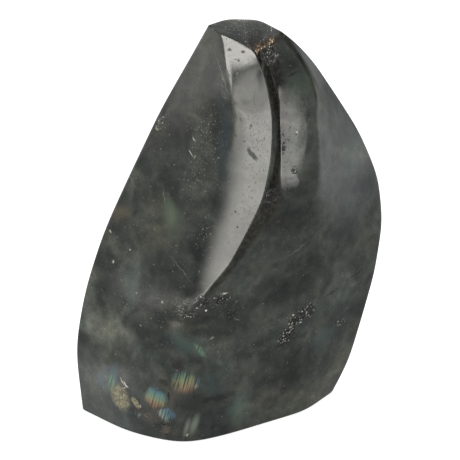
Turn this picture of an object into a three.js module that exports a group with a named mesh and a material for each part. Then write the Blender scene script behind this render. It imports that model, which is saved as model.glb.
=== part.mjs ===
// A free-form labradorite: one natural stone, ground to broad soft faces, polished all over and cut flat
// below so that it stands. Millimetres, +Z up, and the crested front looks along -Y.
// The origin is the middle of the footprint's box, on the flat base.
import * as THREE from "three";

// The polished facet that ends the stone at the top lies on a plane: its height over the origin of the
// lines below, and its rise for each millimetre towards +X and +Y.
const FACET_HEIGHT = 128.5;
const FACET_RISE_X = -0.093;
const FACET_RISE_Y = 0.15;
const FACET_DOME = 0.5;
const FACET_PULL_FROM = 0.7; // share of the height where sections begin to lean towards the facet's plane

const BASE_CHAMFER = 0.5;
const FACET_CHAMFER = 0.4;

// The lines that the lapidary's faces meet in, each from the base to the facet: [height, x, y, rounding].
// Rounding is how far along the section, to each side, the bend across the line is spread. Ease is the same
// for the line's own bends, along its height, or less where the next point is nearer. Spans is how many
// faces lie from this line to the next one.
const LINES = [
  {
    name: "left edge",
    ease: 14,
    spans: 10,
    points: [
      [0, -48.6, -8, 1],
      [22, -50.6, -6, 1],
      [42, -47, -4, 1],
      [62, -40.6, -2, 1],
      [82, -31.6, -0.5, 1],
      [102, -22.2, 1, 1],
      [112, -16.3, 2.3, 1],
      [118.5, -12.4, 3.2, 1],
      [FACET_HEIGHT, -6.8, 3.8, 1],
    ],
  },
  {
    name: "shoulder left of the crest",
    ease: 9,
    spans: 7,
    points: [
      [0, -33, -22.8, 14],
      [22.5, -30, -23.8, 14],
      [42.5, -18.2, -27.1, 14],
      [46.5, -15.2, -27.3, 9],
      [50, -11, -27, 7],
      [60, -6.6, -25.6, 8],
      [70.8, -3.6, -23.7, 9],
      [82.4, 0.6, -21.7, 9],
      [97, 2, -18.7, 8.5],
      [106, 1.5, -16.9, 7],
      [112, 0.8, -15.6, 4],
      [117, 0.1, -12.7, 3.2],
      [121.8, -1.7, -8.3, 3.2],
      [FACET_HEIGHT, -3.4, -1.1, 3],
    ],
  },
  {
    name: "crest",
    ease: 7,
    spans: 4,
    points: [
      [0, -15, -30.6, 14],
      [22.5, -15, -29.9, 12],
      [42.5, -14.6, -28.1, 14],
      [46.2, -12.8, -27.9, 8],
      [49.5, -10.2, -27.7, 2.5],
      [61, -0.3, -25.6, 0.5],
      [72.7, 5.8, -23.5, 0.5],
      [82.4, 10.4, -21.8, 0.5],
      [95, 12.9, -18.9, 0.5],
      [108, 13.1, -16.8, 0.5],
      [117, 11.6, -15.1, 0.5],
      [123.4, 9.7, -13, 0.4],
      [127.2, 7.6, -9.8, 0.4],
      [FACET_HEIGHT, 4.9, -5.6, 0.4],
    ],
  },
  {
    name: "bottom of the groove",
    ease: 7,
    spans: 6,
    points: [
      [0, -1, -24.6, 12],
      [22, -1, -25, 12],
      [42, -4.5, -25.3, 6],
      [51, -2, -25.4, 3],
      [61, 3.8, -24, 3],
      [72.7, 10.6, -21.6, 3],
      [79, 13.5, -19.9, 2],
      [83.5, 15.3, -14.6, 1.2],
      [94.5, 15.7, -12.4, 0.5],
      [106, 15.2, -10.7, 0.6],
      [111.5, 14.7, -8.3, 1],
      [118, 13.1, -7.6, 1.5],
      [FACET_HEIGHT, 9.8, -4.2, 1],
    ],
  },
  {
    name: "shoulder right of the groove",
    ease: 9,
    spans: 9,
    points: [
      [0, 25, -8.8, 9],
      [22, 26, -9.5, 12],
      [42, 25, -11.5, 14],
      [60, 24, -13.5, 14],
      [72, 23.6, -15.6, 12],
      [82, 24.2, -16.5, 12],
      [94, 26.4, -15.2, 11],
      [105.5, 27, -13.6, 11.5],
      [111.5, 27, -10, 11],
      [118.9, 24.2, -2.9, 8],
      [125, 18.6, 0.2, 5],
      [FACET_HEIGHT, 13.6, -1, 3],
    ],
  },
  {
    name: "right edge",
    ease: 10,
    spans: 9,
    points: [
      [0, 35, 4.8, 4],
      [10, 40, 6.5, 3],
      [25, 43.8, 8, 2],
      [42, 47.8, 9, 1.5],
      [60, 49.9, 10, 1.2],
      [76, 48, 10, 1.2],
      [92, 41.3, 10, 1.2],
      [108, 31.4, 10, 1.2],
      [117, 25.7, 9.4, 1.2],
      [124.1, 19.9, 7, 1.2],
      [FACET_HEIGHT, 15.8, 4, 1.2],
    ],
  },
  {
    name: "right line of the back",
    ease: 18,
    spans: 8,
    points: [
      [0, 20, 20, 10],
      [42, 24, 24, 10],
      [82, 22, 24, 10],
      [108, 14, 19, 8],
      [FACET_HEIGHT, 9, 10.4, 5],
    ],
  },
  {
    name: "left line of the back",
    ease: 18,
    spans: 8,
    points: [
      [0, -26, 14, 14],
      [42, -24, 20, 14],
      [82, -12, 21, 14],
      [108, -5, 17, 10],
      [FACET_HEIGHT, -1, 9, 5],
    ],
  },
];

const SECTIONS = 64; // from the base's chamfer to the facet's
const FACET_RINGS = 4;

// Rough places that the grinding didn't reach, each a bowl sunk from the front towards the back: the pocket
// that the groove starts from, and the pit where the crest dies out.
const HOLLOWS = [
  { x: 12.4, z: 123.3, halfWidth: 4.2, halfHeight: 4, depth: 2.4 },
  { x: -3.5, z: 45, halfWidth: 6.5, halfHeight: 4.5, depth: 1 },
];
const FRONT = 0; // the hollows sink points that lie before this y alone

// How far a polyline that bends by one unit of slope at offset 0 moves when the bend is spread smoothly over
// spread to each side: the integral of the bump 15/16 (1 - q^2)^2, less the sharp bend itself.
function softBend(offset, spread) {
  const q = THREE.MathUtils.clamp(offset / spread, -1, 1);
  const bump = q ** 2 / 2 - q ** 4 / 6 + q ** 6 / 30 - 11 / 30;
  return spread * ((q + 1) / 2 + (15 / 16) * bump - Math.max(q, 0));
}

// Straight between a line's points, with no easing: the value in a column of its table at a height.
function between(points, height, column) {
  let i = 1;
  while (i < points.length - 1 && points[i][0] < height) i += 1;
  const [low, high] = [points[i - 1], points[i]];
  const share = THREE.MathUtils.clamp(
    (height - low[0]) / (high[0] - low[0]),
    0,
    1,
  );
  return THREE.MathUtils.lerp(low[column], high[column], share);
}

// The same, with each bend at an inner point spread over the line's ease or the gap to the nearest point.
function eased(line, height, column) {
  const { points, ease } = line;
  const gap = (i) => points[i + 1][0] - points[i][0];
  const slope = (i) => (points[i + 1][column] - points[i][column]) / gap(i);
  let value = between(points, height, column);
  for (let i = 1; i < points.length - 1; i += 1) {
    const spread = Math.min(ease, gap(i - 1), gap(i));
    value += (slope(i) - slope(i - 1)) * softBend(height - points[i][0], spread);
  }
  return value;
}

// One level section as a closed ring of points: a polygon through the lines, with every corner softened.
function section(height) {
  const corners = LINES.map(
    (line) =>
      new THREE.Vector2(eased(line, height, 1), eased(line, height, 2)),
  );
  const rounding = LINES.map((line) => between(line.points, height, 3));
  const count = corners.length;
  const sides = corners.map((corner, i) =>
    corners[(i + 1) % count].clone().sub(corner),
  );
  const lengths = sides.map((side) => side.length());
  const directions = sides.map((side) => side.clone().normalize());
  const starts = [0];
  for (const length of lengths) starts.push(starts.at(-1) + length);
  const around = starts.at(-1);
  const ring = [];
  for (let i = 0; i < count; i += 1) {
    for (let k = 0; k < LINES[i].spans; k += 1) {
      // Points crowd towards both ends of a side, where it bends.
      const share = (1 - Math.cos((Math.PI * k) / LINES[i].spans)) / 2;
      const point = corners[i].clone().addScaledVector(sides[i], share);
      const place = starts[i] + share * lengths[i];
      for (let j = 0; j < count; j += 1) {
        const offset =
          THREE.MathUtils.euclideanModulo(
            place - starts[j] + around / 2,
            around,
          ) -
          around / 2;
        const move = softBend(offset, rounding[j]);
        point.addScaledVector(directions[j], move);
        point.addScaledVector(directions[(j + count - 1) % count], -move);
      }
      ring.push(point);
    }
  }
  return ring;
}

// Lifts a section into space, leaning it towards the facet's plane near the top, and draws it in by inset.
function ringAt(height, inset = 0) {
  const ring = section(height);
  const middle = ring
    .reduce((sum, point) => sum.add(point), new THREE.Vector2())
    .divideScalar(ring.length);
  const pull =
    Math.max(
      0,
      (height / FACET_HEIGHT - FACET_PULL_FROM) / (1 - FACET_PULL_FROM),
    ) ** 2;
  return ring.map((point) => {
    const inward = middle.clone().sub(point).normalize();
    const { x, y } = point.addScaledVector(inward, inset);
    return new THREE.Vector3(
      x,
      y,
      height + pull * (FACET_RISE_X * x + FACET_RISE_Y * y),
    );
  });
}

// Sinks a point of the front into each hollow that it lies in.
function sink(point) {
  if (point.y > FRONT) return point;
  for (const { x, z, halfWidth, halfHeight, depth } of HOLLOWS) {
    const distance = Math.hypot(
      (point.x - x) / halfWidth,
      (point.z - z) / halfHeight,
    );
    if (distance < 1) point.y += depth * (1 - distance ** 2) ** 2;
  }
  return point;
}

// The closed surface: rings joined in bands, a flat fan below, and the facet's own rings and fan above.
function stoneGeometry() {
  const rings = [ringAt(0, BASE_CHAMFER)];
  const top = FACET_HEIGHT - FACET_CHAMFER;
  for (let i = 0; i <= SECTIONS; i += 1)
    rings.push(
      ringAt(BASE_CHAMFER + ((top - BASE_CHAMFER) * i) / SECTIONS).map(
        sink,
      ),
    );
  const rim = ringAt(FACET_HEIGHT, FACET_CHAMFER);
  const middle = rim
    .reduce((sum, point) => sum.add(point), new THREE.Vector3())
    .divideScalar(rim.length);
  for (let i = 0; i < FACET_RINGS; i += 1) {
    const share = 1 - i / FACET_RINGS;
    rings.push(
      rim.map((point) => {
        const ringPoint = middle.clone().lerp(point, share);
        ringPoint.z += FACET_DOME * (1 - share ** 2);
        return ringPoint;
      }),
    );
  }
  const count = rim.length;
  const base = rings[0]
    .reduce((sum, point) => sum.add(point), new THREE.Vector3())
    .divideScalar(count);
  const peak = middle.clone().setZ(middle.z + FACET_DOME);

  const faces = [];
  for (let r = 0; r < rings.length - 1; r += 1)
    for (let c = 0; c < count; c += 1) {
      const [here, next] = [r * count + c, r * count + ((c + 1) % count)];
      faces.push(here, next, next + count, here, next + count, here + count);
    }
  const points = [...rings.flat(), base, peak];
  const last = (rings.length - 1) * count;
  for (let c = 0; c < count; c += 1) {
    const next = (c + 1) % count;
    faces.push(points.length - 2, next, c);
    faces.push(points.length - 1, last + c, last + next);
  }
  const geometry = new THREE.BufferGeometry().setFromPoints(points);
  geometry.setIndex(faces);
  geometry.computeBoundingBox();
  const { min, max } = geometry.boundingBox;
  geometry.translate(-(min.x + max.x) / 2, -(min.y + max.y) / 2, 0);
  geometry.computeVertexNormals();
  return geometry;
}

const polishedLabradorite = new THREE.MeshStandardMaterial({
  color: new THREE.Color(0.07, 0.078, 0.073),
  roughness: 0.12,
  metalness: 0,
});

const stone = new THREE.Mesh(stoneGeometry(), polishedLabradorite);
stone.name = "stone";

const sculpture = new THREE.Group();
sculpture.add(stone);

export default sculpture;
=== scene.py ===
import math

import bpy
import numpy as np
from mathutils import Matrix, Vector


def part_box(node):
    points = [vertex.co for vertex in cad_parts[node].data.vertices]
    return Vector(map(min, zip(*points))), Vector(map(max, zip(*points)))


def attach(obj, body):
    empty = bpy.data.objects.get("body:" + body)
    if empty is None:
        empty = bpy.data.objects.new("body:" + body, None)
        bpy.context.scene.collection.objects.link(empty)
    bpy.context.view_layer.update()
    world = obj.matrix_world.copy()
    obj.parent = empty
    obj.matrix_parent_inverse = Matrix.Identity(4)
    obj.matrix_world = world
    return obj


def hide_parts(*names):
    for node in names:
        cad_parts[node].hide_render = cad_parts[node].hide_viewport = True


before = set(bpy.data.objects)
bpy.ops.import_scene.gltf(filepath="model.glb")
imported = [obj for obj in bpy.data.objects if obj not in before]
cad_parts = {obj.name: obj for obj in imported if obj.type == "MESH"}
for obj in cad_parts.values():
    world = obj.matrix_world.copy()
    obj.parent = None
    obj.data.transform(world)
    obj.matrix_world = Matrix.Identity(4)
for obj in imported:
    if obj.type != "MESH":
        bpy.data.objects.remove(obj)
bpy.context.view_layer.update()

# The stone's form
# One lump of labradorite, a dark feldspar, ground to broad soft faces that meet in a crest beside a groove.
# It is sawn flat below so that it stands, and polished all over. The rough lump's skin is left in a shallow
# pocket at the groove's head, and pits mark where crystals broke out.
MM = 0.001
FACET_HEIGHT = 128.5
FACET_RISE_X = -0.093
FACET_RISE_Y = 0.15
FACET_DOME = 0.5
FACET_PULL_FROM = 0.7
BASE_ROUND = 0.6
FACET_ROUND = 0.35
ROUND_ROWS = 5
BODY_SPANS = ((0.6, 76, 112), (76, 115, 72), (115, 128.15, 46))
FACET_RINGS = 26
BASE_RINGS = 6

# The lines that the ground faces meet in, from the base to the facet: height, x, y and rounding, in mm.
LINES = {
    "left edge": {"ease": 14, "columns": 44, "points": [
        (0, -48.6, -8, 1), (22, -50.6, -6, 1), (42, -47, -4, 1), (62, -40.6, -2, 1), (82, -31.6, -0.5, 1),
        (102, -22.2, 1, 1), (112, -16.3, 2.3, 1), (118.5, -12.4, 3.2, 1), (FACET_HEIGHT, -6.8, 3.8, 1)]},
    "shoulder left of the crest": {"ease": 9, "columns": 44, "points": [
        (0, -33, -22.8, 14), (22.5, -30, -23.8, 14), (42.5, -18.2, -27.1, 14), (46.5, -15.2, -27.3, 9),
        (50, -11, -27, 7), (60, -6.6, -25.6, 8), (70.8, -3.6, -23.7, 9), (82.4, 0.6, -21.7, 9),
        (97, 2, -18.7, 8.5), (106, 1.5, -16.9, 7), (112, 0.8, -15.6, 4),
        (117, 0.1, -12.7, 3.2), (121.8, -1.7, -8.3, 3.2), (FACET_HEIGHT, -3.4, -1.1, 3)]},
    "crest": {"ease": 7, "columns": 24, "points": [
        (0, -15, -30.6, 14), (22.5, -15, -29.9, 12), (42.5, -14.6, -28.1, 14), (46.2, -12.8, -27.9, 8),
        (49.5, -10.2, -27.7, 2.5), (61, -0.3, -25.6, 0.5), (72.7, 5.8, -23.5, 0.5), (82.4, 10.4, -21.8, 0.5),
        (95, 12.9, -18.9, 0.5), (108, 13.1, -16.8, 0.5), (117, 11.6, -15.1, 0.5), (123.4, 9.7, -13, 0.4),
        (127.2, 7.6, -9.8, 0.4), (FACET_HEIGHT, 4.9, -5.6, 0.4)]},
    "bottom of the groove": {"ease": 7, "columns": 40, "points": [
        (0, -1, -24.6, 12), (22, -1, -25, 12), (42, -4.5, -25.3, 6), (51, -2, -25.4, 3),
        (61, 3.8, -24, 3), (72.7, 10.6, -21.6, 3), (79, 13.5, -19.9, 2), (83.5, 15.3, -14.6, 1.2),
        (94.5, 15.7, -12.4, 0.5), (106, 15.2, -10.7, 0.6), (111.5, 14.7, -8.3, 1), (118, 13.1, -7.6, 1.5),
        (FACET_HEIGHT, 9.8, -4.2, 1)]},
    "shoulder right of the groove": {"ease": 9, "columns": 52, "points": [
        (0, 25, -8.8, 9), (22, 26, -9.5, 12), (42, 25, -11.5, 14), (60, 24, -13.5, 14),
        (72, 23.6, -15.6, 12), (82, 24.2, -16.5, 12), (94, 26.4, -15.2, 11), (105.5, 27, -13.6, 11.5),
        (111.5, 27, -10, 11), (118.9, 24.2, -2.9, 8), (125, 18.6, 0.2, 5), (FACET_HEIGHT, 13.6, -1, 3)]},
    "right edge": {"ease": 10, "columns": 40, "points": [
        (0, 35, 4.8, 4), (10, 40, 6.5, 3), (25, 43.8, 8, 2), (42, 47.8, 9, 1.5), (60, 49.9, 10, 1.2),
        (76, 48, 10, 1.2), (92, 41.3, 10, 1.2), (108, 31.4, 10, 1.2), (117, 25.7, 9.4, 1.2),
        (124.1, 19.9, 7, 1.2), (FACET_HEIGHT, 15.8, 4, 1.2)]},
    "right line of the back": {"ease": 18, "columns": 34, "points": [
        (0, 20, 20, 10), (42, 24, 24, 10), (82, 22, 24, 10), (108, 14, 19, 8),
        (FACET_HEIGHT, 9, 10.4, 5)]},
    "left line of the back": {"ease": 18, "columns": 36, "points": [
        (0, -26, 14, 14), (42, -24, 20, 14), (82, -12, 21, 14), (108, -5, 17, 10),
        (FACET_HEIGHT, -1, 9, 5)]},
}


def soft_bend(offset, spread):
    """How far a line that bends by one unit of slope at offset 0 moves when the bend is spread over `spread`
    to each side. It is the integral of the bump 15/16 (1 - q^2)^2, with q = offset / spread, less that of the
    sharp bend."""
    q = np.clip(offset / spread, -1, 1)
    bump = q**2 / 2 - q**4 / 6 + q**6 / 30 - 11 / 30
    return spread * ((q + 1) / 2 + 15 / 16 * bump - np.maximum(q, 0))


def eased(heights, points, column, ease):
    """One coordinate of a line at many heights: straight between its points, with each bend spread by the
    ease, or by the gap to the nearest point where that is less."""
    knots, values = points[:, 0], points[:, column]
    gaps = np.diff(knots)
    spreads = np.minimum(ease, np.minimum(gaps[:-1], gaps[1:]))
    result = np.interp(heights, knots, values)
    for knot, turn, spread in zip(knots[1:-1], np.diff(np.diff(values) / gaps), spreads):
        result = result + turn * soft_bend(heights - knot, spread)
    return result


def sections(heights, insets):
    """A grid of points, a row for each height and a column for each place round the stone. A row is the
    polygon through the lines at that height, with each corner's bend spread along it by the corner's
    rounding. It is drawn in by its inset, and leans towards the facet's plane as it nears the top."""
    heights, insets = np.asarray(heights, float), np.asarray(insets, float)
    corners, rounding = [], []
    for line in LINES.values():
        points = np.array(line["points"], float)
        corners.append([eased(heights, points, column, line["ease"]) for column in (1, 2)])
        rounding.append(np.interp(heights, points[:, 0], points[:, 3]))
    corners = np.array(corners).transpose(2, 0, 1)
    rounding = np.array(rounding).T
    sides = np.roll(corners, -1, axis=1) - corners
    lengths = np.linalg.norm(sides, axis=2)
    along = sides / lengths[..., None]
    starts = np.concatenate([np.zeros((len(heights), 1)), np.cumsum(lengths, axis=1)], axis=1)
    around = starts[:, -1:]
    grid, places = [], []
    for i, line in enumerate(LINES.values()):
        shares = (1 - np.cos(np.pi * np.arange(line["columns"]) / line["columns"])) / 2
        grid.append(corners[:, i, None] + shares[None, :, None] * sides[:, i, None])
        places.append(starts[:, i, None] + shares * lengths[:, i, None])
    grid, places = np.concatenate(grid, axis=1), np.concatenate(places, axis=1)
    for j in range(len(LINES)):
        offset = (places - starts[:, j, None] + around / 2) % around - around / 2
        turn = along[:, j] - along[:, j - 1]
        grid = grid + turn[:, None] * soft_bend(offset, rounding[:, j, None])[..., None]
    inward = grid.mean(axis=1, keepdims=True) - grid
    inward /= np.linalg.norm(inward, axis=2, keepdims=True)
    grid = grid + inward * insets[:, None, None]
    pull = np.maximum(0, (heights / FACET_HEIGHT - FACET_PULL_FROM) / (1 - FACET_PULL_FROM)) ** 2
    rise = FACET_RISE_X * grid[..., 0] + FACET_RISE_Y * grid[..., 1]
    return np.dstack([grid, heights[:, None] + pull[:, None] * rise])


def rings_to_centre(rim, count, dome):
    """Rings that shrink from the rim to its middle and rise by dome (1 - share^2), without the rim itself."""
    middle = rim.mean(axis=0)
    shares = np.linspace(1, 0, count + 1)[1:-1, None, None]
    rings = middle + shares * (rim - middle)
    rings[..., 2] += dome * (1 - shares[..., 0] ** 2)
    return rings, middle + [0, 0, dome]


def closed_grid():
    """The stone's surface as a grid of points, the two points that close it, quads and triangles: rounded
    base edge, body, rounded facet edge, and the rings that close the base and the facet."""
    angles = np.linspace(0, np.pi / 2, ROUND_ROWS)
    low = BASE_ROUND * (1 - np.cos(angles)), BASE_ROUND * (1 - np.sin(angles))
    high = FACET_HEIGHT - FACET_ROUND * (1 - np.cos(angles)), FACET_ROUND * (1 - np.sin(angles))
    spans = [np.linspace(start, end, rows, endpoint=False) for start, end, rows in BODY_SPANS]
    body = np.concatenate(spans)[1:]
    heights = np.concatenate([low[0], body, high[0][::-1]])
    insets = np.concatenate([low[1], np.zeros(len(body)), high[1][::-1]])
    side = sections(heights, insets)
    base_rings, base_middle = rings_to_centre(side[0], BASE_RINGS, 0)
    facet_rings, facet_middle = rings_to_centre(side[-1], FACET_RINGS, FACET_DOME)
    grid = np.concatenate([base_rings[::-1], side, facet_rings])
    rows, columns = grid.shape[:2]
    here = np.arange(rows * columns).reshape(rows, columns)
    right = np.roll(here, -1, axis=1)
    quads = np.stack([here[:-1], right[:-1], right[1:], here[1:]], axis=-1).reshape(-1, 4)
    base_point = np.full(columns, rows * columns)
    below = np.stack([base_point, right[0], here[0]], axis=-1)
    above = np.stack([base_point + 1, here[-1], right[-1]], axis=-1)
    return grid, np.array([base_middle, facet_middle]), quads, np.concatenate([below, above])


# Rough places that the grinding didn't reach, seen from the front: where crystals broke out at the crest's
# two ends, beside the groove and on the right-hand face. Centre x and z, half length, half width, the angle
# that it runs at, how deep it is sunk, how deep its pits are. The first is only a dent, and polished.
SCARS = (
    (-3.2, 45.5, 6.5, 4.5, 0, 0.45, 0.0),
    (-8.5, 49.2, 2.3, 1.6, -30, 0.0, 0.3),
    (-14.0, 47.0, 2.0, 1.4, 20, 0.0, 0.25),
    (-2.0, 49.4, 2.6, 2.0, 0, 0.0, 0.25),
    (-12.8, 44.4, 3.3, 0.8, 6, 0.0, 0.2),
    (12.9, 81.8, 2.1, 1.7, 30, 0.4, 0.4),
    (17.0, 96.2, 1.7, 0.7, 80, 0.0, 0.08),
    (20.0, 88.6, 1.3, 0.8, -50, 0.0, 0.1),
    (23.8, 37.0, 5.4, 2.5, 42, 0.0, 0.2),
    (18.0, 31.2, 5.0, 2.2, 47, 0.0, 0.24),
    (36.6, 28.4, 2.2, 1.2, 10, 0.0, 0.1),
    (-21.4, 98.6, 3.6, 1.1, 70, 0.0, 0.12),
)
# The shallow pocket beside the crest's upper end, sunk along the inward normal of the face that it opens in.
# Its reach is how far off that face's plane it still touches the surface, and the wall is in columns.
POCKET_CENTRE = (12.5, -2.5, 123.4)
POCKET_TURN = math.radians(38)
POCKET_LEAN = math.radians(32)
POCKET_HALF_WIDTH = 4.8
POCKET_HALF_HEIGHT = 3.9
POCKET_DEPTH = 0.6
POCKET_WALL = 5
POCKET_REACH = 6
POCKET_RIM = 1.05
POCKET_SLOPE = 0.42
CRYSTALS = 60
CRYSTAL_SEED = 11
CRYSTAL_STEP = 0.18
CRYSTAL_LIMIT = 1.5
# The rusty crust lies along a line above the pocket, in its frame: height at its middle, rise, how far it
# spreads upwards, where it starts and ends, and its reach off the face's plane.
CRUST_HEIGHT = 2.9
CRUST_RISE = 0.2
CRUST_TOP = 2.3
CRUST_START = -6.2
CRUST_END = 4.2
CRUST_REACH = 4
# The wall of the groove, right of the crest, is blackened with painted shade where the groove mirrors its
# own dark side: heights, where it starts and ends behind the crest in x, and how black it is.
GROOVE_SHADE = ((48, 0, 2.2, 0), (54, 0, 2.6, 0.75), (62, 0, 3.0, 0.85), (70, 0, 4.0, 0.85), (76, 0, 6.0, 0.85),
        (82, 0, 5.6, 0.9), (87, 1.2, 3.6, 0.95), (104, 1.2, 3.6, 1), (111, 0.3, 4.8, 1), (121, 0, 5.2, 1),
        (126, 0, 5, 1))


def smooth(share):
    """0 to 1 as the share goes from 0 to 1, by 3 t^2 - 2 t^3."""
    share = np.clip(share, 0, 1)
    return share * share * (3 - 2 * share)


LATTICE = 64
MOTTLE_SHIFT = 20


def mottle(x, z, size, seed):
    """Soft random heights from -1 to 1: random values at a square lattice's corners, blended smoothly."""
    corners = np.random.default_rng(seed).uniform(-1, 1, (LATTICE, LATTICE))
    column, row = np.floor(x / size).astype(int), np.floor(z / size).astype(int)
    across, up = smooth(x / size - column), smooth(z / size - row)
    left, right = column % LATTICE, (column + 1) % LATTICE
    lower, upper = row % LATTICE, (row + 1) % LATTICE
    low = corners[lower, left] * (1 - across) + corners[lower, right] * across
    high = corners[upper, left] * (1 - across) + corners[upper, right] * across
    return low * (1 - up) + high * up


def column_of(line_name):
    """The grid's column that lies on a line."""
    names = list(LINES)
    return sum(LINES[name]["columns"] for name in names[:names.index(line_name)])


EDGE_FADE = 3


def facing_front(grid):
    """1 on the faces from the left edge to the right edge and on the facet, 0 on the back and below."""
    columns = np.arange(grid.shape[1])
    to_left, to_right = columns / EDGE_FADE, (column_of("right edge") - columns) / EDGE_FADE
    share = np.tile(smooth(to_left) * smooth(to_right), (grid.shape[0], 1))
    share[:BASE_RINGS - 1] = 0
    share[1 - FACET_RINGS:] = 1
    return share


def weather_and_shade(grid):
    """Sinks the scars and the pocket into the grid of points. Returns it with how raw each point's skin is,
    how crusted with rust and how deep the painted shade on the groove's wall is, from 0 to 1. A scar is the
    bowl (1 - d^2)^2 with pits. The pocket has a ragged rim and a floor of tilted crystal ends, each a plane
    about its own centre."""
    x, y, z = np.moveaxis(grid, -1, 0)
    front = facing_front(grid)
    raw, sink = np.zeros(x.shape), np.zeros(x.shape)
    pits = 0.5 + 0.5 * mottle(x, z, 0.8, 3) + 0.5 * mottle(x, z, 0.45, 4)
    for centre_x, centre_z, half_length, half_width, angle, depth, pit_depth in SCARS:
        along = np.array([math.cos(math.radians(angle)), math.sin(math.radians(angle))])
        u = ((x - centre_x) * along[0] + (z - centre_z) * along[1]) / half_length
        v = ((z - centre_z) * along[0] - (x - centre_x) * along[1]) / half_width
        distance = np.hypot(u, v)
        bowl = np.clip(1 - distance**2, 0, 1) ** 2
        rough = smooth((1 - distance + 0.45 * mottle(x, z, 1.3, 5)) / 0.3) * front
        sink += front * depth * bowl + rough * pit_depth * np.clip(pits, 0, 1.4)
        raw = np.maximum(raw, rough * (pit_depth > 0))
    grid = grid + sink[..., None] * np.array([0, 1, 0])

    out = np.array([math.sin(POCKET_TURN) * math.cos(POCKET_LEAN),
                    -math.cos(POCKET_TURN) * math.cos(POCKET_LEAN), math.sin(POCKET_LEAN)])
    right = np.array([math.cos(POCKET_TURN), math.sin(POCKET_TURN), 0])
    place = grid - POCKET_CENTRE
    u, v = place @ right, place @ np.cross(out, right)
    off_plane = np.abs(place @ out)
    off_zero = u + MOTTLE_SHIFT, v + MOTTLE_SHIFT
    ragged = 0.10 * mottle(*off_zero, 1.2, 6) + 0.07 * mottle(*off_zero, 0.5, 7)
    distance = np.hypot(u / POCKET_HALF_WIDTH, v / POCKET_HALF_HEIGHT) + ragged
    first, last = column_of("crest"), column_of("right edge")
    columns = np.arange(grid.shape[1])
    beside = smooth((columns - first) / POCKET_WALL) * (columns < last)
    opened = smooth((POCKET_RIM - distance) / POCKET_SLOPE) * beside * (off_plane < POCKET_REACH)
    seeds = np.random.default_rng(CRYSTAL_SEED).uniform(-1.1, 1.1, (CRYSTALS, 4))
    seeds = seeds * [POCKET_HALF_WIDTH, POCKET_HALF_HEIGHT, 1, 1]
    gaps = (u[..., None] - seeds[:, 0]) ** 2 + (v[..., None] - seeds[:, 1]) ** 2
    nearest = seeds[gaps.argmin(axis=-1)]
    tilted = nearest[..., 2] * (u - nearest[..., 0]) + nearest[..., 3] * (v - nearest[..., 1])
    steps = CRYSTAL_STEP * np.clip(tilted, -CRYSTAL_LIMIT, CRYSTAL_LIMIT)
    depth = opened * (POCKET_DEPTH * (0.55 + 0.45 * opened) + steps)
    grid = grid - depth[..., None] * out

    above = v - CRUST_HEIGHT - CRUST_RISE * u
    above = above + 0.9 * mottle(*off_zero, 1.1, 8) + 0.6 * mottle(*off_zero, 0.5, 9)
    crust = smooth((above + 0.9) / 0.6) * (1 - 0.6 * smooth(above / 1.4)) * smooth((CRUST_TOP - above) / 0.8)
    ends = np.clip((u - CRUST_START) / 2.2, 0, 1) * np.clip((CRUST_END - u) / 2.6, 0, 1)
    ends = ends + 0.35 * mottle(*off_zero, 0.7, 12)
    crust *= smooth(ends / 0.5) * (off_plane < CRUST_REACH)
    # Painted shade: a black band down the groove's wall, right of the crest.
    behind_crest = x - x[:, first, None]
    levels = np.array(GROOVE_SHADE, float)
    starts, ends, blackness = (np.interp(z, levels[:, 0], levels[:, i]) for i in (1, 2, 3))
    groove_shade = smooth((behind_crest - starts) / 0.5) * smooth((ends - behind_crest) / 2 + 0.5)
    return grid, np.maximum(raw, opened), crust, groove_shade * blackness * beside


# Darker blocks (minus) and paler clouds (plus) in the stone behind the front: x, z, half length, half
# width, angle, how much.
CLOUDS = (
    (-4.5, 103, 12, 4.5, 80, -0.16), (-14, 99, 8, 5, 80, -0.13), (-22, 57, 9, 6, 10, -0.2),
    (-9.5, 66, 6, 4.5, 60, -0.2), (-38, 47, 5, 4, 70, -0.22), (-27, 43.5, 9, 2.6, 0, -0.2),
    (-9, 14, 8, 4, 0, -0.3), (-7, 6, 6, 4, 0, -0.1), (9, 18, 9, 5, 80, -0.16), (20, 17, 11, 9, 0, -0.18),
    (17, 50, 12, 8, 20, -0.18), (18, 72, 10, 6, 15, -0.2), (38.5, 61, 6, 5, 0, -0.28),
    (-1, 38, 6, 6, 0, -0.12), (19.5, 119, 5.5, 4.5, -50, -0.24), (-27.5, 72, 6, 4, 20, -0.1),
    (-11, 114, 9, 7, 60, 0.13), (-32, 77, 6, 4, 40, 0.17), (-35, 58, 7, 4, 20, 0.22),
    (-24, 84, 9, 5, 70, 0.06), (-45, 40, 14, 3.5, 80, 0.4), (-38, 31, 11, 8, 0, 0.5), (-41, 15, 9, 8, 0, 0.3),
    (-14, 36, 8, 5, -30, 0.15), (4, 9, 7, 4, 70, 0.18), (8, 30, 18, 2.2, 88, 0.07), (17, 22, 7, 6, 0, 0.12),
    (31, 26, 6, 4, 30, 0.12), (25, 62, 13, 1.6, 38, 0.12), (38, 40, 6, 5, 0, 0.08), (21, 113, 5, 5, 60, 0.16),
    (40, 92, 14, 6, 120, 0.12), (-30.6, 50, 12, 1.6, 88, 0.1),
)
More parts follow.
